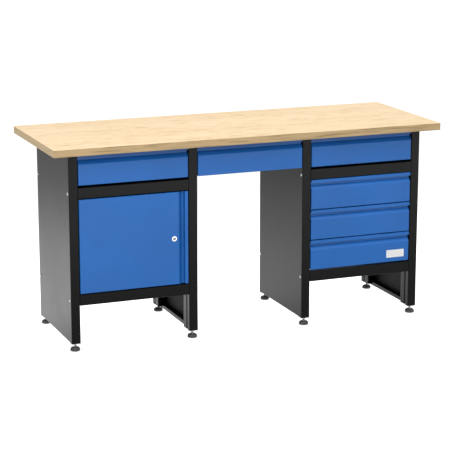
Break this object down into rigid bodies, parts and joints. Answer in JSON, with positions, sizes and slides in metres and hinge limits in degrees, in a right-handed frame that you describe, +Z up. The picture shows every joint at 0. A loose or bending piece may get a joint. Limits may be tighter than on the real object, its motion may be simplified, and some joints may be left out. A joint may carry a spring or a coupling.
{
  "type": "workbench with drawers",
  "caption": "Steel workbench with a plywood top on two pedestals, a lockable cupboard, sliding drawers and levelling feet.",
  "frame": {"origin": "on the floor under the middle of the worktop", "axes": "+Z up, +X along the worktop to the right as seen by the user, -Y towards the user"},
  "size_m": [1.7, 0.6, 0.84],
  "materials": {
    "beech_ply": "lacquered plywood with a fine straight grain",
    "frame_black": "satin black powder coat",
    "front_blue": "satin blue powder coat",
    "tray_blue": "satin blue powder coat",
    "zinc": "bright zinc plating",
    "lock_chrome": "bright chrome",
    "foot_black": "moulded black plastic",
    "label_white": "plain white vinyl"
  },
  "bodies": {
    "frame": {"worktop": "beech_ply", "worktop_screws": "zinc", "left_outer_panel": "frame_black", "left_inner_panel": "frame_black", "right_inner_panel": "frame_black", "right_outer_panel": "frame_black", "left_upper_rail": "frame_black", "left_lower_rail": "frame_black", "right_upper_rail": "frame_black", "right_lower_rail": "frame_black", "left_back_panel": "frame_black", "right_back_panel": "frame_black", "rear_beam": "frame_black", "left_uprights": "frame_black", "right_uprights": "frame_black", "cabinet_floor": "frame_black", "cabinet_shelf": "frame_black", "shelf_clips": "zinc", "frame_bolts": "zinc", "frame_nuts": "zinc", "slide_rails_left": "zinc", "slide_rails_centre": "zinc", "slide_rails_right_1": "zinc", "slide_rails_right_2": "zinc", "slide_rails_right_3": "zinc", "slide_rails_right_4": "zinc", "foot_nuts": "zinc"},
    "drawer_left": {"drawer_front_left": "front_blue", "drawer_tray_left": "tray_blue", "drawer_runners_left": "zinc"},
    "drawer_centre": {"drawer_front_centre": "front_blue", "drawer_tray_centre": "tray_blue", "drawer_runners_centre": "zinc"},
    "drawer_right_1": {"drawer_front_right_1": "front_blue", "drawer_tray_right_1": "tray_blue", "drawer_runners_right_1": "zinc"},
    "drawer_right_2": {"drawer_front_right_2": "front_blue", "drawer_tray_right_2": "tray_blue", "drawer_runners_right_2": "zinc"},
    "drawer_right_3": {"drawer_front_right_3": "front_blue", "drawer_tray_right_3": "tray_blue", "drawer_runners_right_3": "zinc"},
    "drawer_right_4": {"drawer_front_right_4": "front_blue", "drawer_tray_right_4": "tray_blue", "drawer_runners_right_4": "zinc", "label": "label_white"},
    "door_leaf": {"door": "front_blue", "hinge_pins": "frame_black", "lock_barrel": "lock_chrome", "lock_nut": "zinc"},
    "lock": {"lock_plug": "lock_chrome", "lock_cam": "zinc"},
    "foot_left_outer_front_leveller": {"foot_left_outer_front": "foot_black"},
    "foot_left_outer_rear_leveller": {"foot_left_outer_rear": "foot_black"},
    "foot_left_inner_front_leveller": {"foot_left_inner_front": "foot_black"},
    "foot_left_inner_rear_leveller": {"foot_left_inner_rear": "foot_black"},
    "foot_right_inner_front_leveller": {"foot_right_inner_front": "foot_black"},
    "foot_right_inner_rear_leveller": {"foot_right_inner_rear": "foot_black"},
    "foot_right_outer_front_leveller": {"foot_right_outer_front": "foot_black"},
    "foot_right_outer_rear_leveller": {"foot_right_outer_rear": "foot_black"}
  },
  "joints": [
    {"name": "drawer_left_slide", "type": "slide", "parent": "frame", "child": "drawer_left", "axis": [0, -1, 0], "range_m": [0, 0.3]},
    {"name": "drawer_centre_slide", "type": "slide", "parent": "frame", "child": "drawer_centre", "axis": [0, -1, 0], "range_m": [0, 0.3]},
    {"name": "drawer_right_1_slide", "type": "slide", "parent": "frame", "child": "drawer_right_1", "axis": [0, -1, 0], "range_m": [0, 0.3]},
    {"name": "drawer_right_2_slide", "type": "slide", "parent": "frame", "child": "drawer_right_2", "axis": [0, -1, 0], "range_m": [0, 0.3]},
    {"name": "drawer_right_3_slide", "type": "slide", "parent": "frame", "child": "drawer_right_3", "axis": [0, -1, 0], "range_m": [0, 0.3]},
    {"name": "drawer_right_4_slide", "type": "slide", "parent": "frame", "child": "drawer_right_4", "axis": [0, -1, 0], "range_m": [0, 0.3]},
    {"name": "door_hinge", "type": "hinge", "parent": "frame", "child": "door_leaf", "pos_m": [-0.731, -0.244, 0.238], "axis": [0, 0, -1], "range_deg": [0, 105]},
    {"name": "lock_turn", "type": "hinge", "parent": "door_leaf", "child": "lock", "pos_m": [-0.336, -0.25, 0.431], "axis": [0, -1, 0], "range_deg": [0, 90]},
    {"name": "foot_left_outer_front_level", "type": "slide", "parent": "frame", "child": "foot_left_outer_front_leveller", "axis": [0, 0, -1], "range_m": [0, 0.015]},
    {"name": "foot_left_outer_rear_level", "type": "slide", "parent": "frame", "child": "foot_left_outer_rear_leveller", "axis": [0, 0, -1], "range_m": [0, 0.015]},
    {"name": "foot_left_inner_front_level", "type": "slide", "parent": "frame", "child": "foot_left_inner_front_leveller", "axis": [0, 0, -1], "range_m": [0, 0.015]},
    {"name": "foot_left_inner_rear_level", "type": "slide", "parent": "frame", "child": "foot_left_inner_rear_leveller", "axis": [0, 0, -1], "range_m": [0, 0.015]},
    {"name": "foot_right_inner_front_level", "type": "slide", "parent": "frame", "child": "foot_right_inner_front_leveller", "axis": [0, 0, -1], "range_m": [0, 0.015]},
    {"name": "foot_right_inner_rear_level", "type": "slide", "parent": "frame", "child": "foot_right_inner_rear_leveller", "axis": [0, 0, -1], "range_m": [0, 0.015]},
    {"name": "foot_right_outer_front_level", "type": "slide", "parent": "frame", "child": "foot_right_outer_front_leveller", "axis": [0, 0, -1], "range_m": [0, 0.015]},
    {"name": "foot_right_outer_rear_level", "type": "slide", "parent": "frame", "child": "foot_right_outer_rear_leveller", "axis": [0, 0, -1], "range_m": [0, 0.015]}
  ]
}
